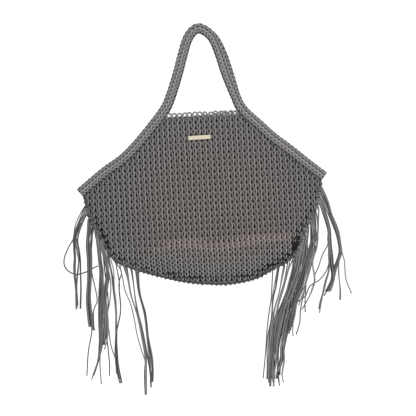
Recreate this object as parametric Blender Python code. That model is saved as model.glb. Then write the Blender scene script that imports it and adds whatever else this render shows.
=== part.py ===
"""A hand-knitted cord shoulder bag, hung by its two straps.

Two knitted panels are joined round their lower edge by a knotted seam, whose cord ends hang as a
fringe at both sides. Each panel is bordered by one knitted strap, which runs up the slope from the
left corner, makes the handle and runs down to the right corner. Loops of cord edge the mouth.

Metres, +Z up, the front faces -Y. The origin is where a hook or a shoulder carries the straps.
"""

import math

import bmesh
import bpy
from mathutils import Matrix, Vector
from mathutils.geometry import delaunay_2d_cdt

# Reach and drop of the bag's outline, from the origin
LEFT_REACH = 0.238
RIGHT_REACH = 0.2525
LEFT_CORNER_DROP = 0.320
RIGHT_CORNER_DROP = 0.287
MOUTH_DROP = 0.166
MOUTH_RISE = 0.0040  # the mouth's rise to the right, from the hook to the right foot
BACK_MOUTH_DROP = 0.170
BACK_MOUTH_RISE = 0.0100
BOTTOM_DROP = 0.5005

# Where the handle's legs reach the body
LEFT_FOOT_REACH = 0.069
RIGHT_FOOT_REACH = 0.090
FOOT_DROP = 0.155

# Depth, from the middle plane to the inside of one panel
BELLY_DEPTH = 0.041
MOUTH_GAP = 0.011
FOLD_DEPTH = 0.0160  # how far the panel steps out at the fold
FOLD_WIDTH = 0.0065
FOLD_REACH = 0.1300  # how far above the fold the panel is drawn in

# Walls and cords
PANEL_WALL = 0.0040
STRAP_WIDTH = 0.0210
STRAP_THICKNESS = 0.0068
BACK_STRAP_LEAN = 0.006
SEAM_WIDTH = 0.0050
CORD_DIAMETER = 0.0024
CLEARANCE = 0.0003
EDGE_CLEARANCE = 0.0005

# Loops along the mouth
LOOP_PITCH = 0.0108
LOOP_SWING = 1.42
LOOP_END_INSET = 0.0065

# Fringe
FRINGE_LENGTH = 0.245
LOCK_WIDTH = 0.020
LOCK_ROOT_WIDTH = 0.0040
LOCK_THICKNESS = 0.0090

# Name plate, left bare
PLATE_WIDTH = 0.044
PLATE_HEIGHT = 0.0078
PLATE_THICKNESS = 0.0012
PLATE_DROP = 0.209
PLATE_SHIFT = 0.002
PLATE_TILT = math.radians(4.0)
PLATE_CORNER = 0.0007
POST_DIAMETER = 0.0020
POST_SPACING = 0.036
POST_REACH = 0.0016  # past the inside of the panel
POST_CLEARANCE = 0.0004

# Facets
STRAP_STEP = 0.0160
SEAM_STEP = 0.0130
STRAP_SIDES = 10
SEAM_SIDES = 8
CORD_SIDES = 6
LOCK_SIDES = 6
LOOP_STEPS = 8
LOCK_STEPS = 8
COLUMN_STEP = 0.0190
ROW_STEP = 0.0190
POST_SIDES = 8
MESH_INSET = 0.0055
UPPER_SHARE = 0.75  # of the panel's height, above the fold
MERGE_DISTANCE = 1e-6
SHARP_ANGLE = math.radians(50)

# Handle: down is a share of MOUTH_DROP, left and right are shares of the foot's reach
HANDLE = (
    {"down": 0.783, "left": 0.826, "right": 0.839},
    {"down": 0.494, "left": 0.607, "right": 0.618},
    {"down": 0.229, "left": 0.441, "right": 0.457},
    {"down": 0.036, "left": 0.281, "right": 0.289},
)
# Slopes: out and down are shares of the way from the foot to the corner
LEFT_SLOPE = (
    {"out": 0.162, "down": 0.221},
    {"out": 0.344, "down": 0.442},
    {"out": 0.494, "down": 0.591},
    {"out": 0.707, "down": 0.746},
)
RIGHT_SLOPE = (
    {"out": 0.195, "down": 0.219},
    {"out": 0.361, "down": 0.402},
    {"out": 0.561, "down": 0.583},
    {"out": 0.776, "down": 0.793},
)
# Seam: out is a share of the corner's reach, down is a share of the way from the corner to the bottom
LEFT_SEAM = (
    {"out": 0.954, "down": 0.069},
    {"out": 0.904, "down": 0.306},
    {"out": 0.834, "down": 0.460},
    {"out": 0.785, "down": 0.589},
    {"out": 0.733, "down": 0.697},
    {"out": 0.652, "down": 0.775},
    {"out": 0.494, "down": 0.851},
    {"out": 0.346, "down": 0.904},
    {"out": 0.109, "down": 0.973},
)
RIGHT_SEAM = (
    {"out": 0.968, "down": 0.070},
    {"out": 0.946, "down": 0.242},
    {"out": 0.896, "down": 0.378},
    {"out": 0.847, "down": 0.490},
    {"out": 0.805, "down": 0.622},
    {"out": 0.764, "down": 0.722},
    {"out": 0.688, "down": 0.797},
    {"out": 0.579, "down": 0.868},
    {"out": 0.421, "down": 0.958},
)
BOTTOM_SHIFT = 0.18  # the lowest point, a share of RIGHT_REACH to the right of the hook
# A column from its upper edge (0) to the seam (1): depth is a share of BELLY_DEPTH
BELLY = (
    {"down": 0.000, "depth": 0.00},
    {"down": 0.137, "depth": 0.21},
    {"down": 0.315, "depth": 0.47},
    {"down": 0.494, "depth": 0.69},
    {"down": 0.643, "depth": 0.83},
    {"down": 0.740, "depth": 0.91},
    {"down": 0.815, "depth": 1.00},
    {"down": 0.860, "depth": 0.95},
    {"down": 0.900, "depth": 0.74},
    {"down": 0.930, "depth": 0.49},
    {"down": 0.960, "depth": 0.26},
    {"down": 1.000, "depth": 0.00},
)
# Fold above the belly: across is a share of the reach, down is a share of BOTTOM_DROP
FOLD = (
    {"across": -0.75, "down": 0.950},
    {"across": -0.55, "down": 0.912},
    {"across": -0.28, "down": 0.853},
    {"across": -0.05, "down": 0.836},
    {"across": 0.12, "down": 0.852},
    {"across": 0.42, "down": 0.824},
    {"across": 0.70, "down": 0.816},
    {"across": 0.86, "down": 0.845},
)
# Rows of facets round the fold, in fold widths above its line, then shares of the way to the seam
FOLD_ROWS = (2.0, 1.0, 0.0, -0.85, -1.7, -2.8)
BASE_ROWS = (0.33, 0.66)
# Heads of the fringe, as shares of the seam: the stretches between the corners and the bottom seam
HEADS = {
    "left_side_fringe": {"start": 0.000, "end": 0.135},
    "left_base_fringe": {"start": 0.135, "end": 0.290},
    "right_base_fringe": {"start": 0.695, "end": 0.870},
    "right_side_fringe": {"start": 0.870, "end": 1.000},
}
# Locks. root is a share of the seam; bow and drift are outwards and lean is backwards, as shares of
# FRINGE_LENGTH
LOCKS = (
    {"root": 0.030, "bow": 0.085, "drift": 0.000, "lean": 0.012, "length": 0.86, "width": 0.60},
    {"root": 0.075, "bow": 0.030, "drift": 0.000, "lean": -0.012, "length": 0.90, "width": 0.70},
    {"root": 0.115, "bow": 0.020, "drift": -0.010, "lean": -0.012, "length": 1.14, "width": 0.70},
    {"root": 0.150, "bow": -0.015, "drift": -0.010, "lean": 0.012, "length": 1.07, "width": 0.75},
    {"root": 0.196, "bow": -0.030, "drift": -0.010, "lean": -0.008, "length": 1.05, "width": 0.95},
    {"root": 0.262, "bow": -0.010, "drift": -0.130, "lean": 0.008, "length": 0.98, "width": 1.00},
    {"root": 0.712, "bow": 0.000, "drift": -0.120, "lean": 0.008, "length": 0.91, "width": 0.45},
    {"root": 0.752, "bow": 0.000, "drift": -0.150, "lean": -0.008, "length": 1.05, "width": 0.95},
    {"root": 0.797, "bow": 0.005, "drift": -0.155, "lean": 0.010, "length": 1.11, "width": 1.20},
    {"root": 0.850, "bow": 0.005, "drift": -0.155, "lean": -0.010, "length": 1.08, "width": 0.95},
    {"root": 0.893, "bow": 0.035, "drift": -0.120, "lean": 0.012, "length": 0.95, "width": 0.55},
    {"root": 0.925, "bow": 0.015, "drift": -0.060, "lean": -0.012, "length": 0.82, "width": 0.75},
    {"root": 0.957, "bow": 0.070, "drift": -0.050, "lean": 0.012, "length": 0.90, "width": 0.60},
    {"root": 0.983, "bow": 0.100, "drift": 0.110, "lean": -0.010, "length": 0.92, "width": 0.55},
)

# Shape of a lock along its length: where it has turned down, where it is at full width, where it
# starts to narrow, and its tip's width as a share of its own
LOCK_TURN = 0.09
LOCK_FULL = 0.20
LOCK_NARROWING = 0.75
LOCK_TIP = 0.45
LOCK_DRIFT_POWER = 1.4
LOCK_STEP_POWER = 1.3
# Shape of a panel
DOME_POWER = 2.4  # how squarely it bulges from side to side
GAP_POWER = 1.5  # how the mouth's gap closes towards the corners and the hook
FOLD_STEEPNESS = 2.2
RIDGE_HEIGHT = 0.25  # the ridge below the fold, a share of the fold's depth
RIDGE_DROP = 1.7  # and how far below it lies, in fold widths
FOLD_FADE = 0.17  # the share of a column at its ends where the fold fades
BACK_FOLD = 0.6  # the back's fold, a share of the front's
SECTION_POWER = 2.6  # how squarely a strap's section is rounded


def clear_scene():
    for obj in list(bpy.data.objects):
        bpy.data.objects.remove(obj, do_unlink=True)


def material(name, colour, roughness, metallic=0.0):
    made = bpy.data.materials.new(name)
    made.use_nodes = True
    shader = made.node_tree.nodes["Principled BSDF"]
    shader.inputs["Base Color"].default_value = (*colour, 1.0)
    shader.inputs["Roughness"].default_value = roughness
    shader.inputs["Metallic"].default_value = metallic
    return made


# Plane curves, as (x, z) vectors in the bag's middle plane


def smooth_curve(points, step):
    """A curve through all the points, sampled about every step."""
    ends = [points[0] * 2 - points[1], *points, points[-1] * 2 - points[-2]]
    line = [points[0].copy()]
    for before, start, end, after in zip(ends, ends[1:], ends[2:], ends[3:]):
        count = max(1, round((end - start).length / step))
        for k in range(1, count + 1):
            t = k / count
            line.append(
                0.5
                * (
                    2 * start
                    + (end - before) * t
                    + (2 * before - 5 * start + 4 * end - after) * t**2
                    + (3 * start - before - 3 * end + after) * t**3
                )
            )
    return line


def tangents(line):
    found = []
    for k in range(len(line)):
        along = line[min(k + 1, len(line) - 1)] - line[max(k - 1, 0)]
        found.append(along.normalized())
    return found


def offset_line(line, distance):
    """The line moved sideways, to the right of its own direction for a positive distance."""
    return [p + Vector((t.y, -t.x)) * distance for p, t in zip(line, tangents(line))]


def part_of_line(line, start, end):
    """The stretch of a line between two shares of its length."""
    lengths = [0.0]
    for a, b in zip(line, line[1:]):
        lengths.append(lengths[-1] + (b - a).length)
    low, high = start * lengths[-1], end * lengths[-1]
    edge = MESH_INSET / 4
    inner = [p for p, s in zip(line, lengths) if low + edge < s < high - edge]
    return [point_on_line(line, start), *inner, point_on_line(line, end)]


def point_on_line(line, share):
    left = share * sum((b - a).length for a, b in zip(line, line[1:]))
    for a, b in zip(line, line[1:]):
        length = (b - a).length
        if left <= length:
            return a.lerp(b, left / length)
        left -= length
    return line[-1].copy()


def height_at(line, x):
    """The z of a line that runs from left to right, at x."""
    if x <= line[0].x:
        return line[0].y
    for a, b in zip(line, line[1:]):
        if a.x <= x <= b.x and b.x > a.x:
            return a.y + (b.y - a.y) * (x - a.x) / (b.x - a.x)
    return line[-1].y


def from_table(table, key, value, at):
    """Interpolated value of a table with rising keys, held at its ends."""
    if at <= table[0][key]:
        return table[0][value]
    for a, b in zip(table, table[1:]):
        if at <= b[key]:
            t = (at - a[key]) / (b[key] - a[key])
            return a[value] + (b[value] - a[value]) * t
    return table[-1][value]


def strap_line(back=False):
    """Centreline of a strap, from the left corner over the handle to the right corner."""
    left_foot = Vector((-LEFT_FOOT_REACH, -FOOT_DROP))
    right_foot = Vector((RIGHT_FOOT_REACH, -FOOT_DROP))
    left_span = Vector((LEFT_FOOT_REACH - LEFT_REACH, FOOT_DROP - LEFT_CORNER_DROP))
    right_span = Vector((RIGHT_REACH - RIGHT_FOOT_REACH, FOOT_DROP - RIGHT_CORNER_DROP))
    lean = BACK_STRAP_LEAN if back else 0.0
    top = HANDLE[-1]["down"]
    bottom = HANDLE[0]["down"]
    points = [left_foot + left_span]
    for row in reversed(LEFT_SLOPE):
        points.append(left_foot + Vector((left_span.x * row["out"], left_span.y * row["down"])))
    points.append(left_foot)
    for row in HANDLE:
        points.append(Vector((-LEFT_FOOT_REACH * row["left"], -MOUTH_DROP * row["down"])))
    points.append(Vector((0.0, STRAP_WIDTH / 2)))
    for row in reversed(HANDLE):
        sway = lean * math.sin(math.pi * (row["down"] + top) / (bottom + 2 * top))
        points.append(Vector((RIGHT_FOOT_REACH * row["right"] + sway, -MOUTH_DROP * row["down"])))
    points.append(right_foot)
    for row in RIGHT_SLOPE:
        points.append(right_foot + Vector((right_span.x * row["out"], right_span.y * row["down"])))
    points.append(right_foot + right_span)
    return smooth_curve(points, STRAP_STEP)


def seam_line():
    """Centreline of the seam, from the left corner under the bag to the right corner."""
    left_way = BOTTOM_DROP - LEFT_CORNER_DROP
    right_way = BOTTOM_DROP - RIGHT_CORNER_DROP
    points = [
        Vector((-LEFT_REACH * row["out"], -LEFT_CORNER_DROP - left_way * row["down"]))
        for row in LEFT_SEAM
    ]
    points.append(Vector((RIGHT_REACH * BOTTOM_SHIFT, -BOTTOM_DROP)))
    points += [
        Vector((RIGHT_REACH * row["out"], -RIGHT_CORNER_DROP - right_way * row["down"]))
        for row in reversed(RIGHT_SEAM)
    ]
    return smooth_curve(points, SEAM_STEP)


def mouth_height(x, back):
    drop, rise = (BACK_MOUTH_DROP, BACK_MOUTH_RISE) if back else (MOUTH_DROP, MOUTH_RISE)
    return -drop + rise * x / RIGHT_FOOT_REACH


def mouth_crossing(low, high, back):
    """Where the way between two points crosses the mouth."""
    below = mouth_height(low.x, back) - low.y
    above = high.y - mouth_height(high.x, back)
    return low.lerp(high, below / (below + above))


def upper_edges(back):
    """The panel's upper edge from left to right, in three: left slope, mouth and right slope."""
    inner = offset_line(strap_line(), STRAP_WIDTH / 2 + EDGE_CLEARANCE)
    over = [p.y > mouth_height(p.x, back) for p in inner]
    first = over.index(True)
    last = len(over) - 1 - over[::-1].index(True)
    start = mouth_crossing(inner[first - 1], inner[first], back)
    end = mouth_crossing(inner[last + 1], inner[last], back)
    left = [p for p in inner[:first] if (p - start).length > MESH_INSET]
    right = [p for p in inner[last + 1 :] if (p - end).length > MESH_INSET]
    return left, smooth_curve([start, end], COLUMN_STEP), right


def lower_edge():
    """The panel's lower edge from left to right, just inside the seam."""
    return offset_line(seam_line(), -(SEAM_WIDTH / 2 + EDGE_CLEARANCE))


def fold_line():
    """The fold above the belly, from left to right."""
    points = []
    for row in FOLD:
        reach = LEFT_REACH if row["across"] < 0 else RIGHT_REACH
        points.append(Vector((reach * row["across"], -BOTTOM_DROP * row["down"])))
    return smooth_curve(points, COLUMN_STEP / 2)


class PanelShape:
    """The height field of one panel: its outline in the middle plane, and its depth from that plane."""

    def __init__(self, back):
        left, mouth, right = upper_edges(back)
        self.back = back
        self.top = [*left, *mouth, *right]
        self.bottom = lower_edge()
        self.fold = FOLD_DEPTH * (BACK_FOLD if back else 1)
        self.fold_line = fold_line()
        self.low_x = max(self.top[0].x, self.bottom[0].x)
        self.high_x = min(self.top[-1].x, self.bottom[-1].x)
        self.mouth_low, self.mouth_high = mouth[0].x, mouth[-1].x

    def fold_height(self, x):
        return height_at(self.fold_line, x)

    def edge_gap(self, x):
        """Half the gap between the panels at the upper edge: open at the mouth, closed at the corners."""
        if x < self.mouth_low:
            share = (self.mouth_low - x) / (self.mouth_low - self.low_x)
        elif x > self.mouth_high:
            share = (x - self.mouth_high) / (self.high_x - self.mouth_high)
        else:
            share = 0.0
        return MOUTH_GAP * (1 - min(1.0, share) ** GAP_POWER)

    def inner(self, x, z):
        """Distance of the inner face from the middle plane."""
        high, low = height_at(self.top, x), height_at(self.bottom, x)
        down = min(1.0, max(0.0, (high - z) / max(high - low, MERGE_DISTANCE)))
        middle = (self.low_x + self.high_x) / 2
        across = min(1.0, abs(x - middle) / (self.high_x - middle))
        dome = 1 - across**DOME_POWER
        depth = self.edge_gap(x) * (1 - down)
        depth += BELLY_DEPTH * from_table(BELLY, "down", "depth", down) * dome
        above = (z - self.fold_height(x)) / FOLD_WIDTH
        drawn_in = math.exp(-((above * FOLD_WIDTH / FOLD_REACH) ** 2)) / (1 + math.exp(-above * FOLD_STEEPNESS))
        ridge = math.exp(-((above + RIDGE_DROP) ** 2))
        fading = min(1.0, down / FOLD_FADE, (1 - down) / FOLD_FADE)
        depth += self.fold * (RIDGE_HEIGHT * ridge - drawn_in) * dome * fading
        return CLEARANCE / 2 + max(0.0, depth)

    def outer(self, x, z):
        """Distance of the outer face, so that the wall keeps its thickness on a slope."""
        step = FOLD_WIDTH / 4
        across = (self.inner(x + step, z) - self.inner(x - step, z)) / (2 * step)
        along = (self.inner(x, z + step) - self.inner(x, z - step)) / (2 * step)
        return self.inner(x, z) + PANEL_WALL * Vector((1, across, along)).length

    def outline(self):
        """The closed outline, clockwise from the left corner over the mouth."""
        top = [p for p in self.top if self.low_x < p.x < self.high_x]
        bottom = [p for p in self.bottom if self.low_x < p.x < self.high_x]
        corners = [
            Vector((x, height_at(edge, x)))
            for edge in (self.top, self.bottom)
            for x in (self.low_x, self.high_x)
        ]
        return [corners[0], *top, corners[1], corners[3], *reversed(bottom), corners[2]]

    def row_heights(self, x):
        """Heights of the facets' rows over x: level at the mouth, along the fold, down to the seam."""
        fold = self.fold_height(x)
        upper_end = fold + FOLD_ROWS[0] * FOLD_WIDTH
        count = round((BOTTOM_DROP - MOUTH_DROP) * UPPER_SHARE / ROW_STEP)
        upper = [-MOUTH_DROP + (upper_end + MOUTH_DROP) * k / count for k in range(1, count)]
        around = [fold + share * FOLD_WIDTH for share in FOLD_ROWS]
        edge = height_at(self.bottom, x)
        base = [around[-1] + (edge - around[-1]) * share for share in BASE_ROWS]
        return upper, around, base

    def inner_points(self):
        """Points between the edges, staggered from row to row but in line across the fold."""
        found = []
        edges = self.top + self.bottom
        x = self.low_x + COLUMN_STEP / 2
        odd = False
        while x < self.high_x:
            upper, around, base = self.row_heights(x)
            heights = upper[1::2] if odd else upper[0::2] + around + base
            for z in heights:
                point = Vector((x, z))
                low, high = height_at(self.bottom, x), height_at(self.top, x)
                inside = low + MESH_INSET < z < high - MESH_INSET
                if inside and min((p - point).length for p in edges) > MESH_INSET:
                    found.append(point)
            x += COLUMN_STEP / 2
            odd = not odd
        return found


def panel(name, side, shape, look):
    """One knitted panel. side is -1 for the front, 1 for the back."""
    outline = shape.outline()
    points = outline + shape.inner_points()
    edges = [(k, (k + 1) % len(outline)) for k in range(len(outline))]
    flat, _, faces, *_ = delaunay_2d_cdt(points, edges, [], 1, MERGE_DISTANCE)
    mesh = bmesh.new()
    outer = [mesh.verts.new((p.x, side * shape.outer(p.x, p.y), p.y)) for p in flat]
    inner = [mesh.verts.new((p.x, side * shape.inner(p.x, p.y), p.y)) for p in flat]
    for face in faces:
        mesh.faces.new([outer[k] for k in face])
        mesh.faces.new([inner[k] for k in reversed(face)])
    mesh.verts.index_update()
    count = len(flat)
    rim = [e for e in mesh.edges if e.is_boundary and e.verts[0].index < count]
    for edge in rim:
        a, b = (v.index for v in edge.verts)
        mesh.faces.new((outer[a], outer[b], inner[b], inner[a]))
    return finished(name, mesh, look)


def finished(name, mesh, look):
    """An object from a bmesh, with its normals outwards and its round faces smooth."""
    bmesh.ops.remove_doubles(mesh, verts=mesh.verts, dist=MERGE_DISTANCE)
    bmesh.ops.recalc_face_normals(mesh, faces=mesh.faces)
    data = bpy.data.meshes.new(name)
    mesh.to_mesh(data)
    mesh.free()
    data.shade_smooth()
    data.set_sharp_from_angle(angle=SHARP_ANGLE)
    data.materials.append(look)
    obj = bpy.data.objects.new(name, data)
    bpy.context.scene.collection.objects.link(obj)
    return obj


def sweep(mesh, centres, half_widths, half_thickness, sides, power=2.0):
    """A closed tube along points near the middle plane, wide in that plane and thin across it."""
    flat = [Vector((c.x, c.z)) for c in centres]
    rings = []
    for centre, along, half_width in zip(centres, tangents(flat), half_widths):
        across = Vector((along.y, 0.0, -along.x))
        ring = []
        for k in range(sides):
            angle = 2 * math.pi * k / sides
            c, s = math.cos(angle), math.sin(angle)
            wide = math.copysign(abs(c) ** (2 / power), c) * half_width
            thick = math.copysign(abs(s) ** (2 / power), s) * half_thickness
            ring.append(mesh.verts.new(centre + across * wide + Vector((0, thick, 0))))
        rings.append(ring)
    for a, b in zip(rings, rings[1:]):
        for k in range(sides):
            after = (k + 1) % sides
            mesh.faces.new((a[k], a[after], b[after], b[k]))
    mesh.faces.new(rings[0])
    mesh.faces.new(rings[-1])


def strap(name, side, shape, look):
    """One knitted strap: corner, slope, handle, slope, corner."""
    line = strap_line(back=side > 0)
    half = STRAP_THICKNESS / 2
    centres = []
    for p in line:
        if p.y > -MOUTH_DROP:
            gap = MOUTH_GAP * max(0.0, -p.y / MOUTH_DROP) ** GAP_POWER
        else:
            gap = shape.edge_gap(p.x)
        centres.append(Vector((p.x, side * (gap + half + CLEARANCE / 2), p.y)))
    mesh = bmesh.new()
    sweep(mesh, centres, [STRAP_WIDTH / 2] * len(line), half, STRAP_SIDES, SECTION_POWER)
    return finished(name, mesh, look)


def looped_line(pitch, count):
    """Loops of one cord standing side by side: its direction swings evenly as it runs along."""
    points = [Vector((0.0, 0.0))]
    for k in range(LOOP_STEPS * count):
        heading = LOOP_SWING * math.cos(2 * math.pi * (k + 0.5) / LOOP_STEPS)
        points.append(points[-1] + Vector((math.cos(heading), math.sin(heading))))
    scale = pitch * count / points[-1].x
    low = min(p.y for p in points)
    return [Vector((p.x, p.y - low)) * scale for p in points]


def mouth_loops(name, side, shape, look):
    """The row of open loops along the mouth of one panel."""
    low = shape.mouth_low + LOOP_END_INSET
    high = shape.mouth_high - LOOP_END_INSET
    count = max(2, round((high - low) / LOOP_PITCH))
    radius = CORD_DIAMETER / 2
    centres = []
    for p in looped_line((high - low) / count, count):
        x = low + p.x
        depth = MOUTH_GAP + (CLEARANCE + PANEL_WALL) / 2
        foot = mouth_height(x, shape.back) + radius + CLEARANCE
        centres.append(Vector((x, side * depth, foot + p.y)))
    mesh = bmesh.new()
    sweep(mesh, centres, [radius] * len(centres), radius, CORD_SIDES)
    return finished(name, mesh, look)


def seam_piece(name, start, end, look):
    """A stretch of the knotted seam, as thick as both panels' edges together."""
    line = part_of_line(seam_line(), start, end)
    centres = [Vector((p.x, 0.0, p.y)) for p in line]
    half = PANEL_WALL + CLEARANCE / 2
    mesh = bmesh.new()
    sweep(mesh, centres, [SEAM_WIDTH / 2] * len(line), half, SEAM_SIDES, SECTION_POWER)
    return finished(name, mesh, look)


def lock(name, row, look):
    """One lock of the fringe, hanging from its root on the seam."""
    root = point_on_line(seam_line(), row["root"])
    out = -1 if row["root"] < 0.5 else 1
    length = FRINGE_LENGTH * row["length"]
    full = LOCK_WIDTH * row["width"] / 2
    centres, widths = [], []
    for k in range(LOCK_STEPS + 1):
        t = (k / LOCK_STEPS) ** LOCK_STEP_POWER
        spread = 1 - math.exp(-t / LOCK_TURN)
        away = out * FRINGE_LENGTH * (row["bow"] * spread + row["drift"] * t**LOCK_DRIFT_POWER)
        back = FRINGE_LENGTH * row["lean"] * spread
        centres.append(Vector((root.x + away, back, root.y - length * t)))
        opening = min(1.0, t / LOCK_FULL)
        closing = min(1.0, 1 - (1 - LOCK_TIP) * (t - LOCK_NARROWING) / (1 - LOCK_NARROWING))
        widths.append((LOCK_ROOT_WIDTH / 2 * (1 - opening) + full * opening) * closing)
    mesh = bmesh.new()
    sweep(mesh, centres, widths, LOCK_THICKNESS / 2, LOCK_SIDES)
    return finished(name, mesh, look)


def fringe(name, look):
    """A head of knots along its stretch of the seam, with its locks fused to it."""
    start, end = HEADS[name]["start"], HEADS[name]["end"]
    head = seam_piece(name, start, min(1.0, end - seam_gap()), look)
    rows = [row for row in LOCKS if start < row["root"] < end]
    for number, row in enumerate(rows):
        piece = lock(f"{name}_lock_{number}", row, look)
        hide(piece)
        joining = head.modifiers.new(f"lock_{number}", "BOOLEAN")
        joining.operation = "UNION"
        joining.object = piece
    return head


def seam_gap():
    """The clearance between two stretches of the seam, as a share of it."""
    line = seam_line()
    return CLEARANCE / sum((b - a).length for a, b in zip(line, line[1:]))


def hide(obj):
    obj.hide_render = True
    obj.display_type = "WIRE"


def plate_frame(shape):
    """The plate's own axes: its middle on the panel, along it, out of it and up it."""
    x, z, step = PLATE_SHIFT, -PLATE_DROP, PANEL_WALL
    front = -shape.outer(x, z)
    across = (shape.outer(x + step, z) - shape.outer(x - step, z)) / (2 * step)
    along = (shape.outer(x, z + step) - shape.outer(x, z - step)) / (2 * step)
    out = Vector((-across, -1.0, -along)).normalized()
    tilted = Vector((math.cos(PLATE_TILT), 0.0, math.sin(PLATE_TILT)))
    side = (tilted - out * tilted.dot(out)).normalized()
    up = out.cross(side)
    if up.z < 0:
        up = -up
    axes = Matrix((side, out, up)).transposed().to_4x4()
    return Matrix.Translation(Vector((x, front, z))) @ axes


def post(name, frame, offset, diameter, start, end, look):
    """A round bar along the plate's axis, between two distances outside the panel's face."""
    mesh = bmesh.new()
    bmesh.ops.create_cone(
        mesh,
        cap_ends=True,
        segments=POST_SIDES,
        radius1=diameter / 2,
        radius2=diameter / 2,
        depth=start - end,
    )
    turn = Matrix.Rotation(math.pi / 2, 4, "X")
    place = frame @ Matrix.Translation((offset, (start + end) / 2, 0.0)) @ turn
    bmesh.ops.transform(mesh, matrix=place, verts=mesh.verts)
    bar = finished(name, mesh, look)
    hide(bar)
    return bar


def plate_blank(frame, seat):
    mesh = bmesh.new()
    size = Matrix.Diagonal((PLATE_WIDTH, PLATE_THICKNESS, PLATE_HEIGHT, 1.0))
    bmesh.ops.create_cube(mesh, size=1.0, matrix=size)
    short = [e for e in mesh.edges if abs(e.verts[0].co.y - e.verts[1].co.y) > PLATE_THICKNESS / 2]
    bmesh.ops.bevel(mesh, geom=short, offset=PLATE_CORNER, segments=2, affect="EDGES", profile=0.5)
    bmesh.ops.transform(mesh, matrix=frame @ Matrix.Translation((0, seat, 0)), verts=mesh.verts)
    return mesh


def name_plate(name, shape, panel_object, look):
    """The bare metal plate on the front, with two hidden posts through the knit."""
    frame = plate_frame(shape)
    seat = CLEARANCE + PLATE_THICKNESS / 2
    plate = finished(name, plate_blank(frame, seat), look)
    hole = POST_DIAMETER + 2 * POST_CLEARANCE
    inside = -PANEL_WALL - POST_REACH
    for number, offset in enumerate((-POST_SPACING / 2, POST_SPACING / 2)):
        bar = post(f"{name}_post_{number}", frame, offset, POST_DIAMETER, seat, inside, look)
        joining = plate.modifiers.new(f"post_{number}", "BOOLEAN")
        joining.operation = "UNION"
        joining.object = bar
        drill = post(f"{name}_drill_{number}", frame, offset, hole, PANEL_WALL, 3 * inside, look)
        cut = panel_object.modifiers.new(f"post_hole_{number}", "BOOLEAN")
        cut.operation = "DIFFERENCE"
        cut.object = drill
    return plate


def main():
    clear_scene()
    net = material("net_cord", (0.205, 0.195, 0.190), 0.75)
    band = material("strap_cord", (0.225, 0.215, 0.215), 0.75)
    ends = material("fringe_cord", (0.150, 0.150, 0.155), 0.70)
    metal = material("plate_metal", (0.830, 0.790, 0.610), 0.35, 1.0)
    front_shape = PanelShape(back=False)
    back_shape = PanelShape(back=True)
    front = panel("front_panel", -1, front_shape, net)
    panel("back_panel", 1, back_shape, net)
    strap("front_strap", -1, front_shape, band)
    strap("back_strap", 1, back_shape, band)
    mouth_loops("front_mouth_loops", -1, front_shape, net)
    mouth_loops("back_mouth_loops", 1, back_shape, net)
    for name in HEADS:
        fringe(name, ends)
    start, end = HEADS["left_base_fringe"]["end"], HEADS["right_base_fringe"]["start"]
    seam_piece("bottom_seam", start, end - seam_gap(), net)
    name_plate("name_plate", front_shape, front, metal)


main()
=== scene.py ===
"""Looks of the hand-knitted cord shoulder bag: stitches, straps, mouth loops, seam, fringe and plate."""

import math
import random
from collections import namedtuple

import bpy
import numpy as np
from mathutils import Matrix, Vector
from mathutils.bvhtree import BVHTree


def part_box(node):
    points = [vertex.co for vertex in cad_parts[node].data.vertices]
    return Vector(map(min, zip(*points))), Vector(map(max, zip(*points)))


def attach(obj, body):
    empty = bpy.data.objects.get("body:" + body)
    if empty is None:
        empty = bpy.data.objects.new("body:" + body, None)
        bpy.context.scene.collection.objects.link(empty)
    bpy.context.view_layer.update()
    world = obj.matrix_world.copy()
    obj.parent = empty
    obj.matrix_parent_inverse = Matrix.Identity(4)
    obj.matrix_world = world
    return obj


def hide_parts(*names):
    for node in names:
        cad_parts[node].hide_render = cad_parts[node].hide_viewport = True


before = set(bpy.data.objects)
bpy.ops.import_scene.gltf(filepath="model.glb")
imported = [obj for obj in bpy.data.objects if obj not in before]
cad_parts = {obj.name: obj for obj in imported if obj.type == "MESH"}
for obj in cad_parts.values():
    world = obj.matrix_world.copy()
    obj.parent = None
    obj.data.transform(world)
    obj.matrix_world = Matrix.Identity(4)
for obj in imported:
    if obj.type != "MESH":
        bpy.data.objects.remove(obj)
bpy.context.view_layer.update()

# Cord and stitches, in metres
CORD_RADIUS = 0.00115
CORD_SIDES = 5
CORD_STRETCH = 60  # the most rings that one stretch of a long cord has
STEEP_SIDE = 0.2  # under this, a cord runs nearly front to back
TWIST_PITCH = 0.0060  # one turn of the cord's plies
COLUMN_WIDTH = 0.0105
ROW_HEIGHT = 0.0126
NET_ROWS = 38
SPARE_ROWS, SPARE_COLUMNS = 4, 8  # what reaches past the panel before the net is trimmed
STITCH_STEPS = 12
STITCH_HEIGHT = 0.0189  # from a loop's foot to its head, which reaches into the next row
STITCH_BULGE = 0.0025  # how far a loop's legs lean in under its head
STITCH_OPENING = 0.0002  # how much wider the hole within a loop is than the one between two
STITCH_DEPTH = 0.0013  # how far its legs stand in front of its head and foot
CORD_PAIR = 0.0006  # half the way between the two cords that are knitted together
CORD_PAIR_DEPTH = 0.0003
ROW_RISE = math.radians(3.4)  # the rows rise to the right
KNIT_STAND = 0.0002  # the stitches' outermost face over the panel's
EDGE_SQUEEZE = 0.0050
EDGE_INSET = 0.0005
EDGE_KEPT = 0.7  # stitches this share of the squeeze past the outline are kept
EDGE_OVERLAP = 0.0026  # how far the net reaches past the panel's outline, under straps and seam
WANDER = 0.0008  # how unevenly the stitches lie
WANDER_WAVES = ((0.052, 0.4), (0.031, 2.1), (0.017, 4.4))  # each wave's length and direction
WANDER_PHASE, WANDER_STRETCH, WANDER_SUM = 1.7, 1.3, 2.2
PLY_DEPTH = 0.0027  # the knit's inner ply, under the panel's outer face
PLY_WALL = 0.0008
PLY_SPREAD = 1.012  # how much wider it is than the panel, so that it reaches under straps and seam

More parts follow.
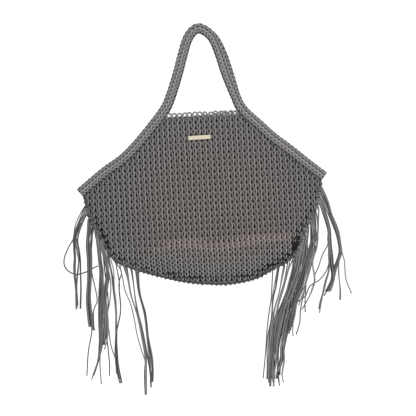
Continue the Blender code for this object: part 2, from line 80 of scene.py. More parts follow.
# Straps
STRAP_PITCH = 0.0087  # one row along the strap, and one bump of its edges
STRAP_STITCH_HEIGHT = 0.0118
STRAP_COLUMNS = 4  # columns of stitches round the strap
STRAP_TURN = 0.0625  # where round the strap its first column lies
STRAP_CORD_RADIUS = 0.0016
STRAP_STAND = 0.0006
STRAP_BUMP = 0.0013
STRAP_WANDER = 0.0006
STRAP_CORE_RINGS = 100
STRAP_CORE_SIDES = 12
STRAP_CORE_INSET = 0.0019
STRAP_CORE_EDGE = 0.6  # how much less deep the core lies at the strap's edges
STRAP_SECTION_POWER = 2.6
STRAP_SECTION_POINTS = 241
STRAP_LINE_STEP = 0.0040
STRAP_TOP_REACH = 0.012  # how far from its highest point the strap is measured
STRAP_END_SQUEEZE = 0.0060

# Surface samples
GRID_STEP = 0.0040
GRID_MARGIN = 0.030
SMOOTHING = 1
LENGTH_START, LENGTH_STEP, LENGTH_COUNT = -0.060, GRID_STEP / 2, 260  # lengths down a face from the mouth
FACING = 0.2  # a face whose normal has this much of the panel's direction is an outer one
CORNER_NEAR = 0.0001
LEVEL = 0.999  # two faces with this much of one direction are level
MERGE_DISTANCE = 0.00001
BATCH = 20000

# Mouth loops
LOOP_PITCH = 0.0106
LOOP_RISE = 0.0076
LOOP_RADIUS = 0.0020
LOOP_FOOT = 0.0030
LOOP_END_INSET = 0.0035
LOOP_SETBACK = 0.0022
LOOP_STEPS = 12
LOOP_SIDES = 6
LOOP_SHIFT, LOOP_LEAN = 0.0006, 0.0012
LOOP_HALF_WIDTH = (0.36, 0.47)  # in shares of the pitch
LOOP_UNEVEN = (0.85, 1.12)  # in shares of the rise
LOOP_BELLY = 0.18  # how much wider a loop is halfway up
LOOP_ROUNDNESS = 0.75
LOOP_CROSSING = 0.0010  # how far one foot stands in front of the head, and the other behind it

# Seam and fringe
SEAM_PITCH = 0.0092
SEAM_OFFSET = 0.0022  # the seam's middle line, outside the panels' edge
SEAM_STEP, SEAM_POINTS = 0.0030, 260
SEAM_HALF_WIDTH = 0.0036
SEAM_HALF_DEPTH = 0.0040
SEAM_TURN_STEPS = 10
SEAM_CORD_RADIUS = 0.0017
SEAM_CORE_RADIUS = 0.0032
SEAM_CORE_SIDES = 8
SEAM_START, SEAM_END = (-0.226, -0.319), (0.239, -0.283)  # just inside the straps' ends
SEAM_SHARE = 0.55  # how unevenly its turns follow one another
SEAM_UNEVEN = (0.15, 0.25)  # how much its width changes from turn to turn, and along the edge
STRAND_ARCH = 0.0050
ARCH_UNEVEN = (0.5, 1.2)
ARCH_DEPTH, ARCH_LIFT = 0.6, 0.4  # where the arch's top is: in shares of STRAND_FRONT, and of the arch
STRAND_RADIUS = 0.0013
STRAND_INSET = 0.0035  # how far inside the seam a strand comes out of the knit
STRAND_FRONT = 0.0052  # and how far in front of the middle or behind it
ROOT_SIDES = (-1, -1, 1)  # two strands come out at the front for each one at the back
ROOT_SHIFT = 0.001
STRAND_STEP = 0.0075
STRAND_DROP = (0.020, 0.046)  # how far under its root a strand joins its bundle
STRAND_SHADE = (-0.5, 1.1)  # from the lightest strand to the one most in the shade
STRAND_PHASES, STRAND_TURNS = (0.0, 6.28), (0.5, 1.6)  # how a strand swings across its bundle
STRAND_SWING, SWING_DEPTH, SWING_LIMIT = 0.22, 0.4, 1.2
STRAND_WAVE, WAVE_RATE = 0.0006, 61
BUNDLE_DEPTH = 0.0050
BUNDLE_SPREAD, STRAND_SHIFT = 0.75, 0.35  # where strands lie in a bundle's width, and how unevenly
MILLIMETRES = 1000  # to a metre

# Camera and light
CAMERA_DISTANCE = 3.2
CAMERA_AIM = (0.019, -0.349)
VIEW_WIDTH = 0.832  # what the picture takes in at the bag, 2 mm to a pixel
SENSOR = 36.0
FLOOR_HEIGHT, FLOOR_SIZE = -0.95, 40.0
FLOOR_COLOUR, FLOOR_ROUGHNESS = (0.95, 0.95, 0.95, 1.0), 0.9
WORLD_STRENGTH = 1.15
KEY_PLACE, KEY_SIZE, KEY_POWER = (1.4, -1.9, 2.1), 1.0, 80.0
FILL_PLACE, FILL_SIZE, FILL_POWER = (-1.6, -2.0, 0.2), 1.6, 4.0
LIGHT_AIM = (0.0, 0.0, -0.3)

# Cord: its lighter and darker patches, its colder painted shade colour for far out and underneath, and its
# roughness
CORDS = {
    "net_cord": {"light": (0.192, 0.172, 0.164), "dark": (0.160, 0.143, 0.137),
                 "shade_colour": (0.144, 0.143, 0.147), "roughness": 0.80},
    "strap_cord": {"light": (0.225, 0.213, 0.209), "dark": (0.192, 0.182, 0.180),
                   "shade_colour": (0.208, 0.198, 0.200), "roughness": 0.80},
    "fringe_cord": {"light": (0.145, 0.145, 0.151), "dark": (0.122, 0.122, 0.128),
                    "shade_colour": (0.133, 0.133, 0.140), "roughness": 0.75},
    # the seam's cord is darker: painted shade under the bag
    "shaded_seam_cord": {"light": (0.068, 0.064, 0.062), "dark": (0.054, 0.050, 0.049),
                  "shade_colour": (0.059, 0.057, 0.0575), "roughness": 0.80},
}
CORD_GLOSS = 0.08
PATCH_SCALE, PATCH_DETAIL = 9.0, 3.0
FIBRE_SCALE, FIBRE_DETAIL = 900.0, 2.0
PLY_SCALE, PLY_DISTORTION, PLY_DETAIL = 1.0, 0.6, 1.0
# the fibre's tones, and painted shade in the plies' grooves
FIBRE_TONES, PLY_TONES = (0.78, 1.22), (0.80, 1.08)
CORD_DEPTHS, CORD_TONES = (-1.0, 1.5), (1.74, 0.19)  # painted shade: how light a cord is by how deep it lies in the knit, with the painted light in the net's attribute
PLY_RELIEF = 3.0  # the plies' relief to the fibre's
CORD_RELIEF = (0.45, 0.0002)  # strength, and height in metres
UNDERSIDE_SHADE_SLOPES = (-0.35, -0.9)  # painted shade: from where the net turns to its colder shade colour underneath to where it is all in that colour
FOLD_SLOPES, FOLD_LIGHT_TINT = (0.25, 0.8), (1.03, 0.97, 0.97)  # painted light: lighter and reddish where the fold faces up

# What lies behind the stitches, coloured near black as painted shade
SHADES = {"net_shade": (0.0095, 0.0083, 0.0078), "strap_shade": (0.011, 0.0104, 0.0102)}
SHADE_SCALE, SHADE_DISTORTION, SHADE_ROWS = 25.0, 1.5, (0.7, 1.3)
# painted light on the ply: up to three times lighter where it faces up on the fold
SHADE_DEPTHS, SHADE_TONES = (-1.0, 0.0), (3.0, 1.0)
SHADE_RELIEF, SHADE_ROUGHNESS, SHADE_GLOSS = (0.6, 0.001), 0.95, 0.1

# Plate, brushed along its length
PLATE_COLOUR, PLATE_METAL, PLATE_TURN = (0.505, 0.462, 0.345), 0.85, math.radians(4)
PLATE_RELIEF = (0.15, 0.0001)
BRUSH_STRETCH, BRUSH_SCALE, BRUSH_DETAIL = (1.0, 1.0, 40.0), 60.0, 4.0
BRUSH_TONES, BRUSH_ROUGHNESS = (0.88, 1.08), (0.32, 0.48)

# Painted shade: the net is warmest round this place, and turns to its colder shade colour from the first
# distance to the second
PAINTED_LIGHT_MIDDLE = (0.03, 0.0, -0.36)
OUTER_SHADE_REACH = (0.06, 0.25)
UPWARD_LIGHT, DOWNWARD_LIGHT = 0.30, 0.80  # painted light: how much lighter the knit is made on the fold, where it faces up, and under the belly, where it faces down

# Fringe bundles. roots are shares of the seam from the left corner, shortest is the shortest strand's
# share of the whole way, and way is (x, z, half width) in millimetres, without a half width where it is 0
Bundle = namedtuple("Bundle", "roots strands shortest way")
BUNDLES = {
    "left_side": (
        Bundle((0.018, 0.046), 4, 0.93, (
            (-231, -352, 3), (-242, -377, 3), (-247, -399, 3), (-248, -426, 3), (-247, -447, 2),
            (-248, -468, 2), (-247, -489, 2), (-245, -513, 3), (-243, -560, 3))),
        Bundle((0.026, 0.050), 3, 0.97, (
            (-229, -361, 3), (-240, -384, 2), (-245, -406, 2), (-243, -433, 1), (-240, -454, 1),
            (-242, -482, 1), (-244, -513, 2), (-244, -556, 3))),
        Bundle((0.040, 0.050), 2, 0.99, (
            (-228, -372, 1), (-238, -388, 1), (-242, -408, 1), (-239, -433, 1), (-236, -454, 1),
            (-236, -482, 1), (-236, -513, 1), (-236, -559, 1))),
        Bundle((0.020, 0.022), 1, 1.0, (
            (-236, -370), (-250, -409), (-260, -426), (-267, -444), (-269, -458), (-265, -470),
            (-256, -478), (-245, -482), (-233, -480), (-225, -477), (-211, -469), (-201, -465))),
        Bundle((0.055, 0.098), 13, 0.87, (
            (-221, -392, 4), (-220, -419, 5), (-218, -447, 5), (-218, -476, 5), (-219, -504, 5),
            (-219, -533, 5), (-216, -563, 6), (-213, -587, 6), (-206, -599, 6))),
        Bundle((0.070, 0.074), 1, 1.0, (
            (-219, -392), (-221, -447), (-220, -533), (-214, -590), (-219, -630), (-222, -660),
            (-224, -685))),
        Bundle((0.090, 0.092), 1, 1.0, (
            (-217, -402), (-215, -447), (-212, -482), (-210, -493), (-203, -529), (-203, -538),
            (-209, -552), (-209, -580))),
    ),
    "left_base": (
        Bundle((0.100, 0.126), 10, 0.80, (
            (-199, -402, 4), (-198, -425, 5), (-196, -454, 5), (-193, -475, 6), (-194, -493, 6),
            (-196, -527, 6), (-194, -573, 7), (-194, -610, 6), (-197, -637, 5), (-201, -655, 4))),
        Bundle((0.130, 0.150), 10, 0.78, (
            (-184, -440, 3), (-184, -458, 4), (-181, -478, 4), (-182, -493, 5), (-187, -527, 5),
            (-186, -553, 5), (-184, -573, 5), (-185, -603, 5), (-188, -623, 4), (-194, -640, 4))),
        Bundle((0.110, 0.114), 3, 0.96, (
            (-198, -420, 3), (-195, -475, 3), (-195, -573, 3), (-195, -620, 3), (-200, -653, 2),
            (-208, -676, 2), (-217, -700, 1))),
        Bundle((0.120, 0.124), 1, 1.0, (
            (-194, -430), (-190, -500), (-192, -580), (-196, -640), (-197, -665), (-194, -701))),
        Bundle((0.136, 0.140), 1, 1.0, (
            (-184, -440), (-182, -520), (-184, -590), (-182, -623), (-180, -647), (-178, -665),
            (-178, -685))),
        Bundle((0.144, 0.148), 1, 1.0, (
            (-181, -446), (-176, -490), (-178, -540), (-181, -556), (-179, -590), (-176, -620),
            (-171, -637), (-166, -650), (-163, -680))),
        Bundle((0.160, 0.196), 5, 0.95, (
            (-172, -474, 5), (-170, -499, 3), (-169, -513, 2), (-166, -537, 2), (-165, -559, 2),
            (-165, -588, 2), (-164, -603, 3), (-164, -625, 3), (-163, -647, 4), (-162, -668, 4),
            (-154, -708, 5))),
        Bundle((0.206, 0.210), 2, 0.96, (
            (-154, -476), (-158, -495, 1), (-158, -515, 1), (-156, -544, 1), (-157, -563, 1), (-161, -584),
            (-163, -603, 1), (-163, -640, 1), (-159, -670, 1), (-150, -706, 2))),
        Bundle((0.218, 0.222), 1, 1.0, (
            (-151, -478), (-150, -493), (-146, -515), (-136, -541), (-127, -577), (-121, -607),
            (-111, -644), (-106, -662), (-106, -713))),
        Bundle((0.232, 0.246), 4, 0.97, (
            (-144, -480, 2), (-141, -493, 1), (-136, -518, 1), (-126, -552, 1), (-120, -575, 2),
            (-114, -602, 2), (-107, -632, 3), (-105, -654, 3), (-106, -684, 4), (-104, -731, 2))),
        Bundle((0.254, 0.262), 2, 0.98, (
            (-131, -486, 1), (-128, -515), (-127, -524, 1), (-121, -559, 2), (-115, -581, 2),
            (-109, -605, 2), (-104, -633, 2), (-98, -665, 2), (-94, -716, 2))),
        Bundle((0.270, 0.284), 5, 0.96, (
            (-122, -488, 4), (-120, -512, 2), (-114, -534, 2), (-108, -555, 3), (-105, -575, 3),
            (-102, -603, 3), (-98, -625, 4), (-93, -654, 4), (-93, -676, 4), (-95, -704, 4))),
    ),
    "right_base": (
        Bundle((0.690, 0.694), 1, 1.0, (
            (147, -480), (147, -515), (146, -530), (141, -555), (138, -581), (136, -618), (134, -640),
            (131, -666), (129, -690))),
        Bundle((0.704, 0.718), 3, 0.97, (
            (157, -478, 3), (156, -493, 2), (154, -508, 1), (150, -522, 1), (148, -538, 1), (147, -555, 1),
            (146, -574, 2), (142, -596, 2), (139, -618, 2), (138, -655, 3), (138, -699, 3))),
        Bundle((0.728, 0.734), 2, 0.96, (
            (170, -474, 1), (166, -495, 1), (161, -519, 1), (156, -536, 1), (151, -555, 1), (147, -583, 2),
            (143, -620, 2), (142, -660, 3), (144, -700, 3))),
        Bundle((0.744, 0.752), 2, 0.96, (
            (177, -470, 1), (172, -493, 1), (166, -515, 1), (161, -537, 1), (156, -559, 1), (149, -593, 2),
            (146, -630, 2), (147, -690, 3))),
        Bundle((0.762, 0.868), 34, 0.90, (
            (205, -448, 14), (201, -470, 17), (194, -495, 17), (188, -513, 16), (179, -537, 15),
            (172, -559, 16), (165, -584, 18), (158, -625, 17), (156, -654, 17), (152, -683, 15),
            (154, -713, 19))),
    ),
    "right_side": (
        Bundle((0.876, 0.916), 15, 0.72, (
            (236, -377, 4), (232, -403, 6), (229, -418, 8), (225, -434, 9), (220, -449, 9), (216, -464, 9),
            (211, -479, 9), (206, -495, 9), (200, -513, 10), (192, -537, 8), (184, -573, 8),
            (178, -608, 8))),
        Bundle((0.880, 0.884), 1, 1.0, (
            (234, -390), (230, -430), (220, -470), (213, -503), (203, -524), (196, -540), (192, -566),
            (189, -581), (189, -605))),
        Bundle((0.890, 0.894), 1, 1.0, (
            (236, -390), (232, -430), (224, -470), (215, -499), (207, -533), (204, -552), (203, -577),
            (195, -602))),
        Bundle((0.898, 0.902), 1, 1.0, (
            (238, -380), (236, -415), (228, -448), (222, -466), (216, -487), (214, -508), (213, -537),
            (214, -557))),
        Bundle((0.924, 0.934), 3, 0.90, (
            (243, -362, 1), (240, -377, 2), (239, -392, 2), (238, -413, 2), (236, -429, 1), (230, -448, 1),
            (228, -463, 1), (232, -484, 1), (232, -499, 1), (222, -528, 2))),
        Bundle((0.938, 0.956), 8, 0.97, (
            (246, -346, 2), (256, -368, 3), (261, -390, 3), (262, -412, 4), (264, -430, 4), (266, -444, 4),
            (267, -464, 4), (270, -480, 4), (269, -493, 4), (264, -508, 4), (256, -524, 5))),
        Bundle((0.944, 0.950), 3, 0.93, (
            (248, -350, 1), (258, -380, 1), (260, -412, 1), (261, -444, 1), (262, -464, 1), (260, -478, 1),
            (254, -496, 1), (248, -520, 1), (244, -538, 2), (241, -566, 2))),
        Bundle((0.952, 0.956), 1, 1.0, (
            (250, -350), (258, -385), (259, -420), (249, -441), (240, -467), (232, -483), (231, -492),
            (230, -503), (222, -525), (214, -541), (207, -552))),
        Bundle((0.950, 0.954), 1, 1.0, (
            (252, -356), (262, -390), (262, -430), (260, -460), (254, -477), (243, -492), (232, -499),
            (223, -505), (214, -525), (205, -531), (197, -537))),
        Bundle((0.962, 0.990), 8, 0.90, (
            (254, -320, 4), (258, -337, 3), (263, -358, 4), (271, -380, 4), (278, -400, 4), (282, -420, 3),
            (284, -436, 3), (280, -452, 3), (274, -470, 4), (270, -490, 4), (258, -516, 4),
            (250, -532, 6))),
        Bundle((0.984, 0.988), 1, 1.0, (
            (255, -316), (259, -337), (267, -362), (279, -393), (286, -428), (288, -440), (292, -454),
            (293, -480), (295, -495), (303, -513), (306, -520))),
        Bundle((0.976, 0.980), 2, 0.97, (
            (254, -320, 1), (258, -340, 1), (265, -362, 1), (277, -393, 1), (284, -428, 1), (282, -445),
            (280, -470), (282, -495), (284, -513), (283, -540))),
    ),
}

LOOKS = {}  # this file's own materials by name, because the frame has some of the same names

# Working by hand: what is selected, active and joined


def only(obj):
    """Selects one object alone and makes it the active one."""
    bpy.ops.object.select_all(action="DESELECT")
    obj.hide_set(False)
    obj.select_set(True)
    bpy.context.view_layer.objects.active = obj


def joined(objects, name):
    only(objects[0])
    for obj in objects:
        obj.select_set(True)
    if len(objects) > 1:
        bpy.ops.object.join()
    made = bpy.context.view_layer.objects.active
    made.name = name
    made.data.name = name
    return made


def cord(name, rings, radius, sides=CORD_SIDES):
    """A cord laid along points."""
    obj = straight_cord(name, len(rings), radius, sides)
    lay_along(obj, rings)
    return obj


def long_cord(name, rings, radius, sides=CORD_SIDES):
    """A cord of any number of rings, made in stretches that share their end rings."""
    starts = range(0, len(rings) - 1, CORD_STRETCH)
    return joined([cord(name, rings[k:k + CORD_STRETCH + 1], radius, sides) for k in starts], name)


def straight_cord(name, count, radius, sides):
    """A cylinder of length 1, cut into rings."""
    bpy.ops.object.select_all(action="DESELECT")
    bpy.ops.mesh.primitive_cylinder_add(vertices=sides, radius=radius, depth=1.0)
    obj = bpy.context.object
    obj.name = name
    bpy.ops.object.mode_set(mode="EDIT")
    bpy.ops.mesh.select_mode(type="EDGE")
    bpy.ops.mesh.select_all(action="DESELECT")
    bpy.ops.object.mode_set(mode="OBJECT")
    mesh = obj.data
    for edge in mesh.edges:
        a, b = (mesh.vertices[k].co.z for k in edge.vertices)
        edge.select = abs(a - b) > 0.5
    bpy.ops.object.mode_set(mode="EDIT")
    bpy.ops.mesh.subdivide(number_cuts=count - 2)
    bpy.ops.object.mode_set(mode="OBJECT")
    return obj


def coordinates(obj):
    co = np.empty(len(obj.data.vertices) * 3)
    obj.data.vertices.foreach_get("co", co)
    return co.reshape(-1, 3)


def set_coordinates(obj, co):
    obj.data.vertices.foreach_set("co", co.ravel())
    obj.data.update()


def lay_along(obj, rings):
    """Moves a straight cord's rings onto the points, and its UVs' height to its length."""
    line = np.array(rings, float)
    co = coordinates(obj)
    at = np.clip(np.rint((co[:, 2] + 0.5) * (len(line) - 1)).astype(int), 0, len(line) - 1)
    along = directions(line)
    side = np.cross(along, (0.0, 1.0, 0.0))
    weak = np.linalg.norm(side, axis=1) < STEEP_SIDE
    side[weak] = np.cross(along[weak], (1.0, 0.0, 0.0))
    for k in range(1, len(line)):
        if side[k] @ side[k - 1] < 0:
            side[k] = -side[k]
    side = unit(side)
    up = np.cross(along, side)
    moved = line[at] + side[at] * co[:, 0:1] + up[at] * co[:, 1:2]
    set_coordinates(obj, moved)
    length = np.linalg.norm(np.diff(line, axis=0), axis=1).sum()
    uv = obj.data.uv_layers[0].data
    values = np.empty(len(uv) * 2)
    uv.foreach_get("uv", values)
    values = values.reshape(-1, 2)
    values[:, 1] = (values[:, 1] - 0.5) * 2 * length / TWIST_PITCH
    uv.foreach_set("uv", values.ravel())


def smooth_line(points, step):
    """A curve through the points, as points about a step apart."""
    rows = np.array(points, float)
    ends = np.vstack([2 * rows[0] - rows[1], rows, 2 * rows[-1] - rows[-2]])
    line = [rows[0]]
    for before, start, end, after in zip(ends, ends[1:], ends[2:], ends[3:]):
        count = max(1, round(float(np.linalg.norm(end - start)) / step))
        for k in range(1, count + 1):
            t = k / count
            line.append(0.5 * (2 * start + (end - before) * t
                               + (2 * before - 5 * start + 4 * end - after) * t**2
                               + (3 * start - before - 3 * end + after) * t**3))
    return np.array(line)


def lengths_along(line):
    return np.concatenate([[0.0], np.cumsum(np.linalg.norm(np.diff(line, axis=0), axis=1))])


def read_at(places, at, rows):
    """The rows of a table, read between its own places."""
    return np.stack([np.interp(places, at, rows[:, k]) for k in range(rows.shape[1])], axis=1)


def even_line(line, count):
    at = lengths_along(line)
    return read_at(np.linspace(0.0, at[-1], count), at, line)


def unit(vectors):
    return vectors / np.linalg.norm(vectors, axis=1)[:, None]


def directions(line):
    """Which way a line runs at each of its points."""
    return unit(np.gradient(line, axis=0))


def outwards(line):
    """Which way is out of the bag at each point of an edge's (x, z) line."""
    along = directions(line)
    return np.stack([along[:, 1], -along[:, 0]], axis=1)


def wander(a, b, seed):
    """Smooth unevenness from -1 to 1 over a surface, for two coordinates in metres."""
    total = np.zeros_like(a)
    for k, (wave, turn) in enumerate(WANDER_WAVES):
        shift = seed * (WANDER_PHASE + k)
        u = a * math.cos(turn) + b * math.sin(turn)
        v = b * math.cos(turn) - a * math.sin(turn)
        across = np.sin(2 * math.pi * v / (wave * WANDER_STRETCH) + 2 * shift)
        total += np.sin(2 * math.pi * u / wave + shift) * across
    return total / WANDER_SUM


# The panels' surfaces, read from the frame


class PanelSurface:
    """A panel's outer and inner depth over x and z, its outline, and heights by length down its face."""

    def __init__(self, node, side):
        self.node, self.side = node, side
        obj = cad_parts[node]
        tree = BVHTree.FromObject(obj, bpy.context.evaluated_depsgraph_get())
        low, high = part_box(node)
        self.x0, self.z0 = low.x - GRID_MARGIN, low.z - GRID_MARGIN
        self.nx = int((high.x - low.x + 2 * GRID_MARGIN) / GRID_STEP) + 2
        self.nz = int((high.z - low.z + 2 * GRID_MARGIN) / GRID_STEP) + 2
        outer = np.full((self.nx, self.nz), np.nan)
        inner = np.full((self.nx, self.nz), np.nan)
        for i in range(self.nx):
            for k in range(self.nz):
                x, z = self.x0 + i * GRID_STEP, self.z0 + k * GRID_STEP
                hit = tree.ray_cast(Vector((x, side, z)), Vector((0, -side, 0)))[0]
                if hit is not None:
                    outer[i, k] = abs(hit.y)
                    back = tree.ray_cast(Vector((x, 0, z)), Vector((0, side, 0)))[0]
                    inner[i, k] = abs(back.y) if back is not None else abs(hit.y)
        self.outer, self.inner = smoothed(filled(outer)), smoothed(filled(inner))
        self.slope_x, self.slope_z = np.gradient(self.outer, GRID_STEP)
        self.outline = outline_of(obj, side)
        self.mouth = float(self.outline[:, 1].max())
        self.lengths_down()

    def lengths_down(self):
        """For each column of samples, the height at every length down the face from the mouth."""
        heights = self.z0 + np.arange(self.nz) * GRID_STEP
        wanted = LENGTH_START + np.arange(LENGTH_COUNT) * LENGTH_STEP
        self.height = np.empty((self.nx, LENGTH_COUNT))
        for i in range(self.nx):
            step = np.hypot(np.diff(self.outer[i]), GRID_STEP)
            up = np.concatenate([[0.0], np.cumsum(step)])
            down = np.interp(self.mouth, heights, up) - up
            self.height[i] = np.interp(wanted, down[::-1], heights[::-1])

    def sample(self, field, x, z):
        return bilinear(field, (x - self.x0) / GRID_STEP, (z - self.z0) / GRID_STEP)

    def height_at(self, x, s):
        return bilinear(self.height, (x - self.x0) / GRID_STEP, (s - LENGTH_START) / LENGTH_STEP)


def bilinear(field, a, b):
    a = np.clip(a, 0, field.shape[0] - 1.001)
    b = np.clip(b, 0, field.shape[1] - 1.001)
    i, k = a.astype(int), b.astype(int)
    u, v = a - i, b - k
    low = field[i, k] * (1 - u) + field[i + 1, k] * u
    high = field[i, k + 1] * (1 - u) + field[i + 1, k + 1] * u
    return low * (1 - v) + high * v


def filled(field):
    """Missing samples get the mean of their known neighbours, ring by ring outwards."""
    field = field.copy()
    while np.isnan(field).any():
        padded = np.pad(field, 1, constant_values=np.nan)
        near = np.stack([padded[1 + a:padded.shape[0] - 1 + a, 1 + b:padded.shape[1] - 1 + b]
                         for a in (-1, 0, 1) for b in (-1, 0, 1)])
        known = ~np.isnan(near)
        count = known.sum(axis=0)
        mean = np.where(known, near, 0.0).sum(axis=0) / np.maximum(count, 1)
        missing = np.isnan(field) & (count > 0)
        field[missing] = mean[missing]
    return field


def smoothed(field):
    for _ in range(SMOOTHING):
        padded = np.pad(field, 1, mode="edge")
        field = (padded[:-2, 1:-1] + 2 * field + padded[2:, 1:-1]) / 4
        padded = np.pad(field, 1, mode="edge")
        field = (padded[1:-1, :-2] + 2 * field + padded[1:-1, 2:]) / 4
    return field


def outline_of(obj, side):
    """The panel's outline as a closed row of (x, z) points: the edges that only one outer face has."""
    used = {}
    mesh = obj.data
    for face in mesh.polygons:
        if face.normal.y * side > FACING:
            keys = []
            for k in face.vertices:
                co = mesh.vertices[k].co
                keys.append((round(co.x, 5), round(co.z, 5)))
            for a, b in zip(keys, keys[1:] + keys[:1]):
                used.setdefault(frozenset((a, b)), []).append((a, b))
    after = {}
    for pairs in used.values():
        if len(pairs) == 1:
            a, b = pairs[0]
            after[a] = b
    loops = []
    while after:
        start, point = after.popitem()
        loop = [start]
        while point in after:
            loop.append(point)
            point = after.pop(point)
        loops.append(loop)
    return np.array(max(loops, key=len))


def inside_and_nearest(points, outline):
    """For each (x, z) point: whether it is inside the outline, and the outline's nearest point."""
    a, b = outline, np.roll(outline, -1, axis=0)
    inside = np.zeros(len(points), bool)
    nearest = np.empty_like(points)
    for first in range(0, len(points), BATCH):
        part = slice(first, first + BATCH)
        p = points[part][:, None, :]
        t = ((p - a) * (b - a)).sum(axis=2) / ((b - a) ** 2).sum(axis=1)
        foot = a + np.clip(t, 0, 1)[..., None] * (b - a)
        far = ((p - foot) ** 2).sum(axis=2)
        nearest[part] = foot[np.arange(len(foot)), far.argmin(axis=1)]
        x, z = p[..., 0], p[..., 1]
        spans = (a[:, 1] > z) != (b[:, 1] > z)
        rise = np.where(b[:, 1] == a[:, 1], 1.0, b[:, 1] - a[:, 1])
        cross = x < a[:, 0] + (z - a[:, 1]) / rise * (b[:, 0] - a[:, 0])
        inside[part] = (spans & cross).sum(axis=1) % 2 == 1
    return inside, nearest


def squeezed_in(points, outline):
    """Points near the outline or past it, crowded up against a line a little outside it."""
    inside, nearest = inside_and_nearest(points, outline)
    away = points - nearest
    far = np.linalg.norm(away, axis=1)
    signed = np.where(inside, far, -far) + EDGE_OVERLAP
    close = signed < EDGE_SQUEEZE
    wanted = np.where(close, EDGE_SQUEEZE * np.exp((signed - EDGE_SQUEEZE) / EDGE_SQUEEZE), signed)
    wanted = np.maximum(wanted, EDGE_INSET) - EDGE_OVERLAP
    inward = away / np.maximum(far, 1e-9)[:, None] * np.where(inside, 1, -1)[:, None]
    moved = nearest + inward * wanted[:, None]
    return np.where(close[:, None], moved, points)


# Knitting


def stitch_path(width, height):
    """One knitted loop's middle line: x along the row, y up the columns, z out of the face."""
    wide = width / COLUMN_WIDTH
    rows = []
    for k in range(STITCH_STEPS + 1):
        t = -math.pi + 2 * math.pi * k / STITCH_STEPS
        lean = STITCH_BULGE * math.sin(2 * t) + STITCH_OPENING * math.sin(t)
        rows.append((width * t / (2 * math.pi) + wide * lean,
                     -height / 2 * math.cos(t),
                     -STITCH_DEPTH * math.cos(2 * t)))
    return np.array(rows)


def stitch(name, width, height, radius):
    """One stitch of two cords held together."""
    path = stitch_path(width, height)
    along = np.gradient(path, axis=0)
    across = unit(np.cross(along, (0.0, 0.0, 1.0)))
    cords = []
    for way in (-1, 1):
        rings = path + across * CORD_PAIR * way
        rings[:, 2] += CORD_PAIR_DEPTH * way
        cords.append(cord(name, rings, radius))
    return joined(cords, name)


def swatch(name, columns, rows, column_width, row_height, stitch_height, radius):
    """A flat piece of knitting: one stitch, repeated along and up by Array modifiers."""
    obj = stitch(name, column_width, stitch_height, radius)
    only(obj)
    repeats = (("columns", columns, (column_width, 0, 0)), ("rows", rows, (0, row_height, 0)))
    for label, count, offset in repeats:
        array = obj.modifiers.new(label, "ARRAY")
        array.count = count
        array.use_relative_offset = False
        array.use_constant_offset = True
        array.constant_offset_displace = offset
        array.use_merge_vertices = False
        bpy.ops.object.modifier_apply(modifier=label)
    return obj


def drop_stitches(obj, per_stitch, keep):
    """Deletes whole stitches. keep holds a truth value for each, in the array's order."""
    only(obj)
    bpy.ops.object.mode_set(mode="EDIT")
    bpy.ops.mesh.select_mode(type="VERT")
    bpy.ops.mesh.select_all(action="DESELECT")
    bpy.ops.object.mode_set(mode="OBJECT")
    chosen = np.repeat(~keep, per_stitch)
    obj.data.vertices.foreach_set("select", chosen)
    bpy.ops.object.mode_set(mode="EDIT")
    bpy.ops.mesh.delete(type="VERT")
    bpy.ops.object.mode_set(mode="OBJECT")


def point_attribute(obj, name, values):
    attribute = obj.data.attributes.new(name, "FLOAT", "POINT")
    attribute.data.foreach_set("value", values.astype(np.float32))


def painted_shade_attribute(obj, values):
    """How much painted shade a point gets: for stitches, how far it lies under the knit's face, from 0
    outside to 1 inside.
    """
    point_attribute(obj, "painted_shade", values)


def net(name, surface, upper):
    """The stitches of one half of a panel, laid on its face."""
    low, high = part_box(surface.node)
    columns = int((high.x - low.x) / COLUMN_WIDTH) + SPARE_COLUMNS
    obj = swatch(name, columns, NET_ROWS, COLUMN_WIDTH, ROW_HEIGHT, STITCH_HEIGHT, CORD_RADIUS)
    per_stitch = len(obj.data.vertices) // (columns * NET_ROWS)
    co = coordinates(obj)
    p = co[:, 0] - (columns - 1) * COLUMN_WIDTH / 2 + (low.x + high.x) / 2
    q = (NET_ROWS - SPARE_ROWS) * ROW_HEIGHT - co[:, 1]
    x = p * math.cos(ROW_RISE) + q * math.sin(ROW_RISE)
    s = q * math.cos(ROW_RISE) - p * math.sin(ROW_RISE)
    x = x + WANDER * wander(p, q, 1.0 + surface.side)
    s = s + WANDER * wander(p, q, 5.0 + surface.side)
    flat = np.stack([x, surface.height_at(x, s)], axis=1)
    centres = flat.reshape(-1, per_stitch, 2).mean(axis=1)
    inside, nearest = inside_and_nearest(centres, surface.outline)
    near = np.linalg.norm(centres - nearest, axis=1)
    keep = inside | (near < EDGE_SQUEEZE * EDGE_KEPT + EDGE_OVERLAP)
    halfway = (low.z + high.z) / 2
    keep &= (centres[:, 1] > halfway) if upper else (centres[:, 1] <= halfway)
    chosen = np.repeat(keep, per_stitch)
    drop_stitches(obj, per_stitch, keep)
    flat = squeezed_in(flat[chosen], surface.outline)
    n = co[chosen, 2]
    outermost = STITCH_DEPTH + CORD_PAIR_DEPTH + CORD_RADIUS
    place(obj, surface, flat, n - outermost + KNIT_STAND)
    # Painted light: the knit is made lighter where it faces up on the fold and where it faces down under the
    # belly; painted shade by how deep each point lies
    slope = np.clip(-surface.sample(surface.slope_z, flat[:, 0], flat[:, 1]), -1, 1)
    lighter = np.where(slope > 0, UPWARD_LIGHT * slope, -DOWNWARD_LIGHT * slope)
    painted_shade_attribute(obj, (outermost - n) / (2 * outermost) - lighter)
    point_attribute(obj, "faces_up", slope)
    finish_piece(obj, "net_cord")
    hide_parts(surface.node)


